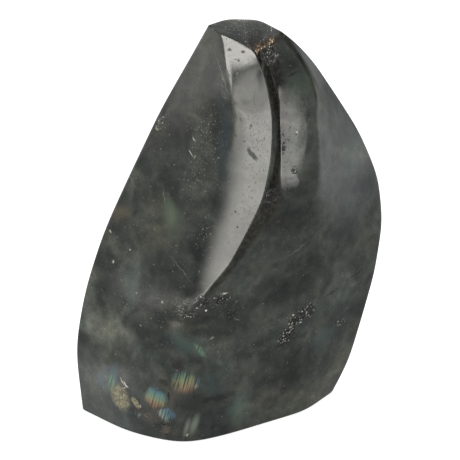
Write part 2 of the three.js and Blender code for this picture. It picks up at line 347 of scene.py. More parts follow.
# Soft tints, in the same way, with a colour before how much.
TINTS = (
    (-18.6, 72.8, 7.2, 3.6, 110, (0.074, 0.096, 0.066), 0.9),
    (-34.4, 69, 3.6, 2.8, 20, (0.085, 0.07, 0.045), 0.55),
    (-30.8, 49, 11, 2.4, 88, (0.04, 0.06, 0.055), 0.55), (-13.5, 34, 8, 4, -30, (0.038, 0.062, 0.056), 0.6),
    (-5.0, 20.6, 5.5, 4.5, 0, (0.03, 0.046, 0.044), 0.6), (3, 9, 8, 3.8, 70, (0.044, 0.068, 0.056), 0.7),
    (31, 26, 7, 5, 30, (0.034, 0.05, 0.046), 0.7), (21.5, 113.5, 6, 4.5, 80, (0.03, 0.046, 0.032), 0.7),
    (-27.2, 8.4, 5, 2.2, -15, (0.03, 0.018, 0.014), 0.85),
    (-33.4, 18.8, 5.2, 2.6, 100, (0.08, 0.08, 0.074), 0.7),
    (-37.6, 18.8, 5, 1.8, 75, (0.07, 0.092, 0.11), 0.7),
    (-41.2, 14.4, 3.4, 2, 85, (0.075, 0.098, 0.115), 0.8),
    (-17.8, 15.4, 4.2, 1.3, 75, (0.06, 0.05, 0.043), 0.7), (-24.5, 8, 4, 2.4, 20, (0.065, 0.056, 0.047), 0.7),
    (-1.2, 100, 17, 2.6, 88, (0.02, 0.031, 0.04), 0.6),
)
# Where fine specks crowd, in the same way.
CROWDS = (
    (-7, 98, 13, 6, 80, 0.6), (-12, 84, 8, 4.5, 60, 0.35), (-8.5, 70, 5, 4, 0, 0.35),
    (-30, 47, 12, 8, 0, 0.15), (-10, 47, 8, 4, 0, 0.5), (0, 46, 7, 5, 0, 0.45), (21, 34.5, 11, 3.4, 46, 1.0),
    (12, 35.5, 3, 3, 0, 0.5), (-25, 8, 6, 3, -10, 0.4), (-1.6, 116, 6, 1.6, -66, 0.6),
    (17.8, 96.6, 5, 3, 80, 0.6), (38, 46, 4, 2, 10, 0.35), (1, 121, 5, 4, 0, 0.2), (8, 101, 15, 5, 86, 0.5),
    (5, 80, 12, 4, 76, 0.2), (18.2, 97, 10, 2.2, 86, 0.9), (5, 127.6, 8, 2, 0, 0.5),
)
# Where the polish is dull, in the same way.
DULLS = (
    (20.4, 111.5, 5.2, 5.2, 0, 1.0), (17.5, 110.5, 2.5, 4, 0, 0.9), (22.4, 103, 8, 2.6, 86, 0.6),
    (22.6, 99, 9, 2.4, 95, 0.7), (19, 83.6, 3.8, 2.2, -20, 0.8), (-17.5, 41, 4.5, 4, 0, 0.4),
    (-1.3, 116, 5.4, 1.7, -67, 1.0), (-11.5, 48, 6, 3.6, 30, 0.7), (-6, 98, 12, 5, 80, 0.15),
)
# It is also dull along the shoulder left of the crest: half width in columns, and heights.
FOLD_HALF_WIDTH = 7
FOLD_FROM = 104
FOLD_TO = 121
FOLD_FADE = 4
# The share of all possible specks that is there where none crowd.
SPECKS_ANYWHERE = 0.03


PATCH_REACH = 1.25


def soft_patch(grid, centre_x, centre_z, half_length, half_width, angle):
    """A soft elliptical patch at every point: 1 in its middle and fading as 3 t^2 - 2 t^3 to 1.25 of its
    size, with the edges moved about by mottling."""
    x = grid[..., 0] + 1.6 * mottle(grid[..., 0], grid[..., 2], 4.1, 21) - centre_x
    z = grid[..., 2] + 1.6 * mottle(grid[..., 0], grid[..., 2], 3.3, 22) - centre_z
    cosine, sine = math.cos(math.radians(angle)), math.sin(math.radians(angle))
    along, across = (x * cosine + z * sine) / half_length, (z * cosine - x * sine) / half_width
    return smooth((PATCH_REACH - np.hypot(along, across)) / PATCH_REACH)


def heap(grid, patches):
    """The sum of soft patches, each times its last number."""
    return sum(patch[-1] * soft_patch(grid, *patch[:-1]) for patch in patches)


def folded(grid):
    """How near every point is to the fold along the shoulder left of the crest, from 0 to 1."""
    aside = abs(np.arange(grid.shape[1]) - column_of("shoulder left of the crest"))
    along = smooth((grid[..., 2] - FOLD_FROM) / FOLD_FADE) * smooth((FOLD_TO - grid[..., 2]) / FOLD_FADE)
    return smooth(1 - aside / FOLD_HALF_WIDTH) * along


def tinted(grid, front):
    """The tints laid over each other at every point: red, green, blue and how much they cover."""
    colours = np.zeros((*grid.shape[:2], 4))
    for *place, colour, amount in TINTS:
        share = (amount * soft_patch(grid, *place) * front)[..., None]
        cover = share + colours[..., 3:] * (1 - share)
        mix = np.where(cover > 0, share / np.maximum(cover, 1e-6), 0)
        colours = np.concatenate([colours[..., :3] * (1 - mix) + mix * np.array(colour), cover], axis=-1)
    return colours


grid, tips, quads, triangles = closed_grid()
cad_low, cad_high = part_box("stone")
middle = (grid.min(axis=(0, 1)) + grid.max(axis=(0, 1))) / 2
shift = (np.array(cad_low + cad_high) / 2 / MM - middle) * [1, 1, 0]
grid, raw, crust, groove_shade = weather_and_shade(grid + shift)
points = np.concatenate([grid.reshape(-1, 3), tips + shift])

mesh = bpy.data.meshes.new("stone_surface")
mesh.from_pydata((points * MM).tolist(), [], quads.tolist() + triangles.tolist())
mesh.polygons.foreach_set("use_smooth", np.ones(len(mesh.polygons), bool))
front = facing_front(grid)
point_values = {
    "clouds": heap(grid, CLOUDS) * front,
    "crowds": SPECKS_ANYWHERE + heap(grid, CROWDS) * front,
    "front": front,
    "raw skin": raw,
    "rusty crust": crust,
    # Painted shade on the groove's wall, as a value at every point.
    "groove shade": groove_shade,
    "dull": np.clip(heap(grid, DULLS) + folded(grid), 0, 1) * front,
}
for name, values in point_values.items():
    layer = mesh.attributes.new(name, "FLOAT", "POINT")
    layer.data.foreach_set("value", np.append(values.ravel(), (0, 0)))
layer = mesh.attributes.new("tints", "FLOAT_COLOR", "POINT")
layer.data.foreach_set("color", np.append(tinted(grid, front).ravel(), np.zeros(8)))
stone = bpy.data.objects.new("stone_surface", mesh)
bpy.context.collection.objects.link(stone)
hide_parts("stone")
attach(stone, "root")

# The stone's colours
# Dark grey-green feldspar, cloudy inside: dark blocks between paler veins, with patches that flash blue,
# green and gold where thin layers inside lie level with the polish, painted into the colour as reflections.
# Crystals' edges, cracks and pits show on it. In the raw places the skin is black and matt, with painted
# glints on its crystal ends and a rusty golden crust; the groove's wall is darkened with painted shade.


def node(tree, kind, inputs=None, **settings):
    """Adds a shader node. `inputs` gives values or other nodes' sockets by socket name or number."""
    new = tree.nodes.new("ShaderNode" + kind)
    for name, value in settings.items():
        setattr(new, name, value)
    for name, value in (inputs or {}).items():
        if isinstance(value, bpy.types.NodeSocket):
            tree.links.new(value, new.inputs[name])
        else:
            new.inputs[name].default_value = value
    return new


def calc(tree, operation, first, second=0.0):
    """One sum, product or other operation on numbers."""
    return node(tree, "Math", {0: first, 1: second}, operation=operation).outputs[0]


def fade(tree, source, low, high):
    """0 to 1, smoothly, as the source goes from low to high."""
    return node(tree, "MapRange", {"Value": source, "From Min": low, "From Max": high},
                interpolation_type="SMOOTHSTEP").outputs[0]


def blend(tree, share, under, over, way="MIX"):
    """Lays one colour over another by a share."""
    return node(tree, "Mix", {0: share, 6: under, 7: over}, data_type="RGBA", blend_type=way).outputs[2]


def build_mark():
    """A group that gives a soft-edged ellipse at a place, and how far along it a point lies, -1 to 1."""
    mark = bpy.data.node_groups.new("placed mark", "ShaderNodeTree")
    for name in ("Place", "Centre", "Length", "Width"):
        mark.interface.new_socket(name, in_out="INPUT", socket_type="NodeSocketVector")
    mark.interface.new_socket("Core", in_out="INPUT", socket_type="NodeSocketFloat")
    for name in ("Mask", "Along"):
        mark.interface.new_socket(name, in_out="OUTPUT", socket_type="NodeSocketFloat")
    given = mark.nodes.new("NodeGroupInput").outputs
    inner = node(mark, "VectorMath", {0: given["Place"], 1: given["Centre"]}, operation="SUBTRACT").outputs[0]
    along, across = (
        node(mark, "VectorMath", {0: inner, 1: given[name]}, operation="DOT_PRODUCT").outputs["Value"]
        for name in ("Length", "Width"))
    squares = calc(mark, "ADD", calc(mark, "MULTIPLY", along, along), calc(mark, "MULTIPLY", across, across))
    mask = fade(mark, calc(mark, "SQRT", squares), 1.0, given["Core"])
    result = mark.nodes.new("NodeGroupOutput")
    mark.links.new(mask, result.inputs["Mask"])
    mark.links.new(along, result.inputs["Along"])
    return mark


material = bpy.data.materials.new("polished_labradorite")
material.use_nodes = True
tree = material.node_tree
shader = tree.nodes["Principled BSDF"]
shader.inputs["IOR"].default_value = 1.5
placed_mark = build_mark()

where = node(tree, "VectorMath", {0: node(tree, "TexCoord").outputs["Object"], "Scale": 1 / MM},
             operation="SCALE").outputs[0]


def cloud(scale, detail, source=None, **more):
    """A noise texture over millimetres, as a number about 0.5."""
    inputs = {"Vector": source or where, "Scale": scale, "Detail": detail, **more}
    return node(tree, "TexNoise", inputs).outputs


def shifted(amount, scale):
    """The place, moved about by noise."""
    push = node(tree, "VectorMath", {0: cloud(scale, 2)["Color"], 1: (0.5, 0.5, 0.5)}, operation="SUBTRACT")
    push = node(tree, "VectorMath", {0: push.outputs[0], "Scale": amount}, operation="SCALE").outputs[0]
    return node(tree, "VectorMath", {0: where, 1: push}, operation="ADD").outputs[0]


wavering = shifted(14, 0.07)
trembling = shifted(2.2, 0.45)
jagged = shifted(1.1, 1.5)


def mark(x, z, half_length, half_width, angle=0, softness=0.6, place=trembling):
    """A mark on the front, as seen from there."""
    cosine, sine = math.cos(math.radians(angle)), math.sin(math.radians(angle))
    inputs = {"Place": place, "Centre": (x, 0, z), "Length": (cosine / half_length, 0, sine / half_length),
              "Width": (-sine / half_width, 0, cosine / half_width), "Core": 1 - softness}
    return node(tree, "Group", inputs, node_tree=placed_mark).outputs


def on_front(shape, amount):
    """A mark's share on the front, times how much."""
    return calc(tree, "MULTIPLY", calc(tree, "MULTIPLY", shape, front), amount)


def wave(source, middle, amount):
    """How far a texture lies from its middle, times an amount."""
    return calc(tree, "MULTIPLY", calc(tree, "SUBTRACT", source, middle), amount)


painted = {name: node(tree, "Attribute", attribute_name=name).outputs["Fac"] for name in point_values}
front = painted["front"]
borders = node(tree, "TexVoronoi", {"Vector": wavering, "Scale": 0.1}, feature="DISTANCE_TO_EDGE").outputs
MIDDLE_TONE = 0.44
tone = MIDDLE_TONE
for part in (wave(cloud(0.06, 4, wavering)["Fac"], 0.5, 1.0),
             wave(fade(tree, borders["Distance"], 0.3, 0.0), 0.3, 0.13),
             wave(cloud(0.4, 3)["Fac"], 0.5, 0.42),
             wave(cloud(1.7, 3)["Fac"], 0.5, 0.30),
             painted["clouds"]):
    tone = calc(tree, "ADD", tone, part)


def shades(source, stops):
    """A colour ramp through the stops."""
    ramp = node(tree, "ValToRGB", {"Fac": source})
    while len(ramp.color_ramp.elements) < len(stops):
        ramp.color_ramp.elements.new(0.5)
    for element, (position, colour) in zip(ramp.color_ramp.elements, stops):
        element.position, element.color = position, (*colour, 1)
    return ramp.outputs["Color"]


STONE_SHADES = ((0.0, (0.004, 0.005, 0.005)), (0.25, (0.012, 0.0135, 0.0125)), (0.45, (0.024, 0.026, 0.0225)),
                (0.65, (0.044, 0.047, 0.039)), (0.85, (0.08, 0.084, 0.07)), (1.0, (0.12, 0.125, 0.1)))
BLUISH, BROWNISH = (0.92, 1.02, 1.05, 1), (1.04, 1.0, 0.91, 1)
colour = shades(tone, STONE_SHADES)
hue = cloud(0.045, 2, shifted(10, 0.05))["Fac"]
colour = blend(tree, fade(tree, hue, 0.48, 0.34), colour, BLUISH, "MULTIPLY")
colour = blend(tree, fade(tree, hue, 0.54, 0.68), colour, BROWNISH, "MULTIPLY")
tint = node(tree, "Attribute", attribute_name="tints").outputs
colour = blend(tree, tint["Alpha"], colour, tint["Color"])

# Small marks with firmer edges: x, z, half length, half width, angle, colour, how much, softness.
BLACK = (0.003, 0.003, 0.003)
STAINS = (
    (-22.4, 97.2, 1.2, 0.7, 70, (0.30, 0.28, 0.2), 0.9, 0.6), (-20.2, 103.0, 4.4, 1.0, 72, BLACK, 0.85, 0.6),
    (-31.1, 8.5, 1.7, 1.1, 20, (0.012, 0.01, 0.009), 0.85, 0.6),
    (-20.3, 3.8, 2.6, 2.0, 80, (0.075, 0.06, 0.05), 0.8, 0.8), (-20.6, 5.4, 0.6, 0.4, 0, BLACK, 0.9, 0.5),
    (-20.2, 2.7, 1.0, 0.4, 5, BLACK, 0.9, 0.5),
    (-20.5, 21.0, 2.4, 1.1, -25, (0.018, 0.014, 0.013), 0.75, 0.7),
    (-19.3, 16.6, 2.7, 0.4, 78, BLACK, 0.85, 0.7),
    (-16.5, 27.2, 2.4, 1.5, -25, (0.018, 0.015, 0.014), 0.85, 0.6),
    (-11.6, 14.2, 5.0, 2.6, 26, (0.018, 0.02, 0.018), 0.75, 0.7),
    (6.2, 127.6, 2.3, 0.34, 4, BLACK, 0.85, 0.9), (9.4, 127.0, 1.2, 0.4, 0, (0.03, 0.012, 0.006), 0.85, 0.8),
    (19.6, 117.0, 2.6, 0.4, 4, BLACK, 0.8, 0.8), (24.2, 106.2, 1.5, 1.3, 60, (0.012, 0.014, 0.012), 0.7, 0.6),
    (5.2, 126.4, 0.9, 0.5, 30, BLACK, 0.7, 0.9), (7.6, 126.0, 1.2, 0.5, -20, BLACK, 0.7, 0.9),
    (8.6, 128.6, 1.1, 0.3, 10, BLACK, 0.6, 0.9), (-28.9, 7.0, 1.7, 0.8, 70, (0.08, 0.13, 0.12), 0.7, 0.9),
)
for x, z, half_length, half_width, angle, paint, amount, softness in STAINS:
    shape = mark(x, z, half_length, half_width, angle, softness)["Mask"]
    colour = blend(tree, on_front(shape, amount), colour, (*paint, 1))

# Straight bars, where a thin layer's edge shows: x, z, half length, half width, angle, colour, how much.
BARS = (
    (-13.5, 5.4, 5.0, 1.2, 74, (0.115, 0.125, 0.10), 0.85),
    (-11.1, 6.2, 5.5, 1.9, 71, (0.11, 0.132, 0.10), 0.9),
    (-13.4, 2.6, 0.9, 0.4, 70, (0.36, 0.36, 0.28), 0.85),
    (-38.5, 15.4, 3.0, 0.35, 72, (0.10, 0.19, 0.11), 0.8),
    (-37.4, 14.9, 2.8, 0.35, 72, (0.11, 0.2, 0.13), 0.8),
)
for x, z, half_length, half_width, angle, paint, amount in BARS:
    shape = mark(x, z, half_length, half_width, angle, 0.9, where)["Mask"]
    colour = blend(tree, on_front(shape, amount), colour, (*paint, 1))

# Patches that flash: painted reflections, the schiller that the thin layers inside give the polish, laid
# into the colour. Each has colours along its length, in streaks at the angle of the thin layers.
RAINBOW = ((0.0, (0.05, 0.035, 0.03)), (0.16, (0.15, 0.085, 0.06)), (0.30, (0.17, 0.12, 0.075)),
           (0.44, (0.17, 0.18, 0.105)), (0.58, (0.105, 0.17, 0.13)), (0.72, (0.07, 0.14, 0.145)),
           (0.86, (0.045, 0.08, 0.105)), (1.0, (0.03, 0.05, 0.06)))
BRONZE = ((0.0, (0.06, 0.04, 0.03)), (0.2, (0.19, 0.105, 0.065)), (0.45, (0.17, 0.145, 0.08)),
          (0.6, (0.14, 0.17, 0.09)), (0.75, (0.08, 0.14, 0.11)), (0.9, (0.055, 0.1, 0.105)),
          (1.0, (0.03, 0.05, 0.045)))
GREENS = ((0.0, (0.04, 0.06, 0.045)), (0.4, (0.08, 0.14, 0.09)), (0.6, (0.11, 0.21, 0.13)),
          (1.0, (0.05, 0.10, 0.10)))
PEARL = ((0.0, (0.06, 0.07, 0.06)), (0.3, (0.19, 0.22, 0.19)), (0.5, (0.09, 0.17, 0.175)),
         (0.7, (0.06, 0.13, 0.2)), (1.0, (0.07, 0.11, 0.12)))
LAYER_ANGLE = math.radians(76)
LAYER_SCALE = (0.12, 0.12, 2.1)
FLASHES = (
    {"at": (-23.4, 14.8), "half": (4.9, 4.1), "angle": 72, "colours": RAINBOW,
     "edge": 0.5, "amount": 0.9, "cut": 0.3},
    {"at": (-14.2, 21.8), "half": (5.4, 5.2), "angle": 100, "colours": BRONZE,
     "edge": 0.7, "amount": 0.85, "cut": 0.42},
    {"at": (-10.2, 21.2), "half": (2.8, 1.0), "angle": 76, "colours": PEARL,
     "edge": 0.7, "amount": 0.6, "cut": 0.46},
    {"at": (-19.9, 9.6), "half": (3.6, 2.8), "angle": 20, "colours": PEARL,
     "edge": 0.5, "amount": 0.85, "cut": 0.38},
    {"at": (-38.2, 15.4), "half": (6.2, 2.0), "angle": 75, "colours": GREENS,
     "edge": 0.9, "amount": 0.5, "cut": 0.3},
    {"at": (-9.3, 32.6), "half": (4.2, 1.3), "angle": -58, "colours": GREENS,
     "edge": 0.8, "amount": 0.7, "cut": 0.35},
)
layers = node(tree, "Mapping", {"Vector": where, "Rotation": (0, LAYER_ANGLE, 0)}, vector_type="POINT")
layers = node(tree, "VectorMath", {0: layers.outputs[0], 1: LAYER_SCALE}, operation="MULTIPLY").outputs[0]
streaks = cloud(1.0, 2, layers, Roughness=0.6)["Fac"]
for flash in FLASHES:
    shape = mark(*flash["at"], *flash["half"], flash["angle"], flash["edge"])
    along = calc(tree, "MULTIPLY", calc(tree, "ADD", shape["Along"], 1.0), 0.5)
    along = calc(tree, "ADD", along, wave(streaks, 0.5, 0.5))
    sheen = shades(along, flash["colours"])
    brightness = calc(tree, "ADD", 0.7, calc(tree, "MULTIPLY", fade(tree, streaks, 0.36, 0.62), 0.5))
    sheen = node(tree, "HueSaturation", {"Color": sheen, "Value": brightness}).outputs[0]
    gaps = fade(tree, streaks, flash["cut"] - 0.06, flash["cut"] + 0.1)
    seen = on_front(calc(tree, "MULTIPLY", shape["Mask"], gaps), flash["amount"])
    colour = blend(tree, seen, colour, sheen)

# Golden grains in two places low on the left: x, z, half length, half width, angle.
grains = node(tree, "TexVoronoi", {"Vector": trembling, "Scale": 1.1}).outputs
graininess = calc(tree, "MULTIPLY", grains["Distance"], 0.9)
gold = shades(calc(tree, "ADD", graininess, wave(cloud(1.4, 3)["Fac"], 0.5, 1.2)),
              ((0.1, (0.23, 0.21, 0.135)), (0.45, (0.15, 0.137, 0.08)), (0.8, (0.075, 0.067, 0.045))))
GOLDEN_PLACES = ((-35.1, 11.2, 5.4, 3.6, 100), (-30.0, 11.2, 2.4, 1.1, 115))
for x, z, half_length, half_width, angle in GOLDEN_PLACES:
    shape = calc(tree, "MULTIPLY", mark(x, z, half_length, half_width, angle, 0.5)["Mask"], front)
    colour = blend(tree, shape, colour, gold)

# Cracks and scratches, and painted glints where crystal ends catch the light, thin: x, z, half length,
# half width, angle, colour, how much.
WHITE_GLINT, PALE_SPECK_AND_GLINT, DIM = (0.75, 0.74, 0.68), (0.40, 0.38, 0.31), (0.12, 0.13, 0.105)
CRACKS_AND_GLINTS = (
    (-34.4, 17.2, 2.0, 0.28, -58, (0.5, 0.42, 0.37), 0.9),
    (-33.0, 16.6, 1.7, 0.38, -54, (0.66, 0.58, 0.52), 0.9),
    (-33.6, 15.2, 1.4, 0.25, 40, (0.4, 0.34, 0.3), 0.7), (-28.5, 10.5, 0.4, 0.4, 0, PALE_SPECK_AND_GLINT, 0.9),
    (-1.8, 117.4, 7.6, 0.24, -66, DIM, 0.85), (-20.4, 77.5, 3.6, 0.22, -72, DIM, 0.7),
    (-15, 57.6, 6.8, 0.25, -41, DIM, 0.5), (41, 44.5, 5.5, 0.3, 22, BLACK, 0.8),
    (33, 41.3, 4.0, 0.35, 18, BLACK, 0.6), (22, 62, 5, 0.3, 30, DIM, 0.5),
    (-10.9, 97.0, 1.5, 0.3, -50, PALE_SPECK_AND_GLINT, 0.9), (-12.0, 92.4, 1.6, 0.3, -58, PALE_SPECK_AND_GLINT, 0.9),
    (-10.6, 91.6, 1.3, 0.25, 55, PALE_SPECK_AND_GLINT, 0.7), (-31, 80, 4.5, 0.2, -55, DIM, 0.6),
    (43.5, 88, 3, 0.3, -60, BLACK, 0.6), (45.6, 68, 4, 0.3, -75, BLACK, 0.4),
    (-37.0, 53.8, 0.9, 0.5, 60, PALE_SPECK_AND_GLINT, 0.8), (-1.4, 51.4, 1.5, 0.35, -6, PALE_SPECK_AND_GLINT, 0.9),
    (-5.3, 36.2, 0.9, 0.5, 25, (0.19, 0.19, 0.16), 0.8), (-7.0, 46.0, 0.45, 0.4, 0, WHITE_GLINT, 1.0),
    (-8.1, 49.2, 0.5, 0.35, 30, PALE_SPECK_AND_GLINT, 1.0), (-9.4, 49.9, 0.45, 0.3, 60, PALE_SPECK_AND_GLINT, 0.9),
    (-13.9, 46.9, 0.7, 0.5, 30, (0.25, 0.2, 0.17), 0.9), (-2.2, 48.3, 0.7, 0.45, -50, PALE_SPECK_AND_GLINT, 0.9),
    (13.6, 123.0, 0.5, 0.4, 0, WHITE_GLINT, 1.0), (11.8, 121.6, 0.4, 0.3, 0, PALE_SPECK_AND_GLINT, 1.0),
    (10.1, 126.0, 0.7, 0.3, 50, WHITE_GLINT, 0.9), (21.0, 100.4, 0.5, 0.4, 0, WHITE_GLINT, 0.9),
    (12.6, 82.4, 0.7, 0.4, -30, PALE_SPECK_AND_GLINT, 0.9), (25.4, 39.3, 1.6, 0.22, 40, PALE_SPECK_AND_GLINT, 0.9),
    (19.9, 31.9, 1.1, 0.25, 88, PALE_SPECK_AND_GLINT, 0.9), (25.7, 39.0, 1.9, 0.2, 24, WHITE_GLINT, 0.8),
    (23.1, 37.9, 1.4, 0.2, 30, WHITE_GLINT, 0.8), (20.1, 34.6, 0.6, 0.25, 40, WHITE_GLINT, 0.8),
    (19.6, 33.4, 1.2, 0.2, 36, WHITE_GLINT, 0.8), (17.4, 31.7, 0.5, 0.25, 50, PALE_SPECK_AND_GLINT, 1.0),
    (22.2, 34.7, 0.6, 0.22, 50, WHITE_GLINT, 0.7), (23.8, 36.0, 0.5, 0.25, 30, PALE_SPECK_AND_GLINT, 1.0),
    (25.0, 36.9, 0.5, 0.25, 60, PALE_SPECK_AND_GLINT, 1.0), (15.8, 29.9, 0.5, 0.25, 0, WHITE_GLINT, 0.7),
    (19.0, 35.1, 0.5, 0.25, 45, PALE_SPECK_AND_GLINT, 1.0), (22.6, 38.2, 0.4, 0.3, 0, PALE_SPECK_AND_GLINT, 1.0),
    (20.7, 37.6, 0.5, 0.3, -30, PALE_SPECK_AND_GLINT, 1.0), (19.7, 36.6, 0.4, 0.3, 40, PALE_SPECK_AND_GLINT, 0.9),
    (20.3, 33.6, 0.6, 0.3, 60, PALE_SPECK_AND_GLINT, 0.9), (20.1, 32.0, 0.9, 0.28, 85, WHITE_GLINT, 0.7),
    (21.5, 34.2, 0.5, 0.3, 10, PALE_SPECK_AND_GLINT, 0.9), (23.1, 34.4, 0.5, 0.28, 0, WHITE_GLINT, 0.7),
    (16.2, 29.6, 0.5, 0.3, 30, PALE_SPECK_AND_GLINT, 0.9), (10.0, 126.2, 0.8, 0.5, 20, WHITE_GLINT, 0.9),
    (13.4, 128.6, 1.0, 0.22, 75, PALE_SPECK_AND_GLINT, 0.7), (-10.1, 47.6, 0.5, 0.35, 20, PALE_SPECK_AND_GLINT, 0.9),
    (-7.0, 48.9, 0.4, 0.3, 0, WHITE_GLINT, 0.7), (-1.6, 49.4, 0.7, 0.3, -40, PALE_SPECK_AND_GLINT, 0.8),
    (-20.7, 47.2, 0.5, 0.3, 60, PALE_SPECK_AND_GLINT, 0.8), (-27.9, 37.6, 0.5, 0.3, -60, PALE_SPECK_AND_GLINT, 0.7),
    (-4.6, 50.2, 0.4, 0.3, 0, PALE_SPECK_AND_GLINT, 0.8), (2.4, 41.2, 1.8, 0.18, -50, DIM, 0.9),
    (-37.6, 62.4, 0.4, 0.6, 0, PALE_SPECK_AND_GLINT, 0.7), (-31.2, 59.0, 0.4, 0.35, 0, PALE_SPECK_AND_GLINT, 0.7),
    (16.9, 30.6, 0.5, 0.3, -20, PALE_SPECK_AND_GLINT, 0.8), (18.2, 32.8, 0.4, 0.3, 0, PALE_SPECK_AND_GLINT, 0.8),
)
for x, z, half_length, half_width, angle, paint, amount in CRACKS_AND_GLINTS:
    shape = mark(x, z, half_length, half_width, angle, 0.8)["Mask"]
    colour = blend(tree, on_front(shape, amount), colour, (*paint, 1))

# Specks: tiny pits painted pale, partly as polishing dust in them and partly as painted glints of light,
# thick in a few places and thin elsewhere.


def specks(scale, radius):
    """Dots at random points of a lattice, as many as the crowd lets be, each with its own brightness."""
    cells = node(tree, "TexVoronoi", {"Vector": jagged, "Scale": scale}).outputs
    lot = node(tree, "SeparateColor", {0: cells["Color"]}).outputs
    there = calc(tree, "LESS_THAN", lot[0], painted["crowds"])
    return calc(tree, "MULTIPLY", fade(tree, cells["Distance"], radius, radius * 0.4), there), lot[1]


SPECK_SIZES = ((1.4, 0.27), (0.85, 0.2), (2.6, 0.28))
pale = 0.0
for scale, radius in SPECK_SIZES:
    dots, lot = specks(scale, radius)
    pale = calc(tree, "MAXIMUM", pale, calc(tree, "MULTIPLY", dots, calc(tree, "ADD", 0.15, lot)))
DUST_AND_GLINT_PALE = (0.26, 0.25, 0.2, 1)
# Pale specks: partly dust in the pits, partly painted glints.
dust_and_glints = calc(tree, "MULTIPLY", pale, 0.6)
colour = blend(tree, dust_and_glints, colour, DUST_AND_GLINT_PALE)

# The painted shade on the groove's wall, raw skin with painted glints on its crystal ends, and the rusty
# crust, palest where it lies thickest.
GROOVE_SHADE_COLOURS = ((0.4, (0.004, 0.004, 0.0035)), (0.75, (0.03, 0.026, 0.016)))
RAW_SHADES = ((0.3, (0.002, 0.002, 0.002)), (0.55, (0.008, 0.008, 0.007)), (0.78, (0.045, 0.045, 0.04)))
RUST_SHADES = ((0.1, (0.010, 0.006, 0.004)), (0.4, (0.05, 0.025, 0.010)), (0.65, (0.10, 0.068, 0.034)),
               (0.85, (0.22, 0.165, 0.095)), (1.0, (0.6, 0.52, 0.38)))
RAW_GLINT_WHITE = (0.5, 0.48, 0.42, 1)
# Painted shade: the groove's wall is laid nearly black over the colour.
groove_shade_colour = shades(cloud(0.8, 3, trembling)["Fac"], GROOVE_SHADE_COLOURS)
colour = blend(tree, painted["groove shade"], colour, groove_shade_colour)
raw_skin, crust = painted["raw skin"], painted["rusty crust"]
# Painted glints: white dots in the raw skin where crystal ends catch the light.
glint_cells = node(tree, "TexVoronoi", {"Vector": jagged, "Scale": 1.6}).outputs
glint = node(tree, "SeparateColor", {0: glint_cells["Color"]}).outputs
glint_dots = fade(tree, glint_cells["Distance"], 0.42, 0.15)
glints = calc(tree, "MULTIPLY", fade(tree, glint[0], 0.3, 0.9), glint_dots)
raw_skin_and_glint_colour = blend(tree, glints, shades(cloud(1.1, 3)["Fac"], RAW_SHADES), RAW_GLINT_WHITE)
colour = blend(tree, raw_skin, colour, raw_skin_and_glint_colour)
rustiness = calc(tree, "ADD", wave(cloud(1.7, 3)["Fac"], 0.58, 2.8), crust)
crusted = fade(tree, crust, 0.03, 0.2)
colour = blend(tree, crusted, colour, shades(rustiness, RUST_SHADES))
tree.links.new(colour, shader.inputs["Base Color"])

# The polish: glossy, with fine lines along the stone, duller by turns, and matt in the pits. The blemishes
# are chips and scratches in it: x, z, half length, half width, angle, how matt.
BLEMISHES = (
    (6.9, 96.2, 2.9, 0.95, -57, 0.9), (2.1, 78.2, 0.5, 0.4, 0, 1.0), (2.4, 73.4, 0.45, 0.4, 0, 1.0),
    (4.8, 100, 0.4, 0.4, 0, 1.0), (0.0, 124.9, 0.8, 0.5, 20, 0.8), (3.0, 122.7, 0.5, 0.4, 0, 0.8),
    (7.6, 112, 5.5, 0.25, 86, 0.35), (17.0, 99.5, 0.5, 0.35, 0, 0.9), (18.2, 98.0, 0.6, 0.35, 40, 0.9),
    (17.4, 95.4, 0.5, 0.4, 0, 0.9), (19.0, 94.3, 0.5, 0.35, 0, 0.8), (16.8, 93.4, 0.5, 0.3, 60, 0.9),
    (20.6, 99.8, 0.5, 0.5, 0, 0.8), (18.6, 101.8, 0.4, 0.3, 0, 0.8), (3.4, 106.5, 0.6, 0.3, 50, 0.7),
    (6.8, 104.2, 0.5, 0.4, 0, 0.7), (1.8, 101.0, 0.4, 0.4, 0, 0.7),
)
matt = calc(tree, "MAXIMUM", calc(tree, "MULTIPLY", raw_skin, 0.85), calc(tree, "MULTIPLY", pale, 0.9))
matt = calc(tree, "MAXIMUM", matt, crusted)
for x, z, half_length, half_width, angle, amount in BLEMISHES:
    shape = mark(x, z, half_length, half_width, angle, 0.5)["Mask"]
    matt = calc(tree, "MAXIMUM", matt, on_front(shape, amount))
LINE_SCALE = (1.6, 1.6, 0.09)
GLOSS = 0.09
lines = node(tree, "VectorMath", {0: where, 1: LINE_SCALE}, operation="MULTIPLY").outputs[0]
lines = cloud(1.0, 2, lines)["Fac"]
roughness = calc(tree, "ADD", GLOSS, wave(cloud(0.7, 3)["Fac"], 0.4, 0.12))
roughness = calc(tree, "ADD", roughness, wave(lines, 0.4, 0.1))
patchy = calc(tree, "ADD", 0.3, wave(cloud(0.9, 3)["Fac"], 0.5, 0.8))
dullness = calc(tree, "MULTIPLY", painted["dull"], patchy)
roughness = calc(tree, "ADD", roughness, calc(tree, "MULTIPLY", dullness, 1.2))
roughness = calc(tree, "ADD", roughness, calc(tree, "MULTIPLY", matt, 0.5))
tree.links.new(roughness, shader.inputs["Roughness"])

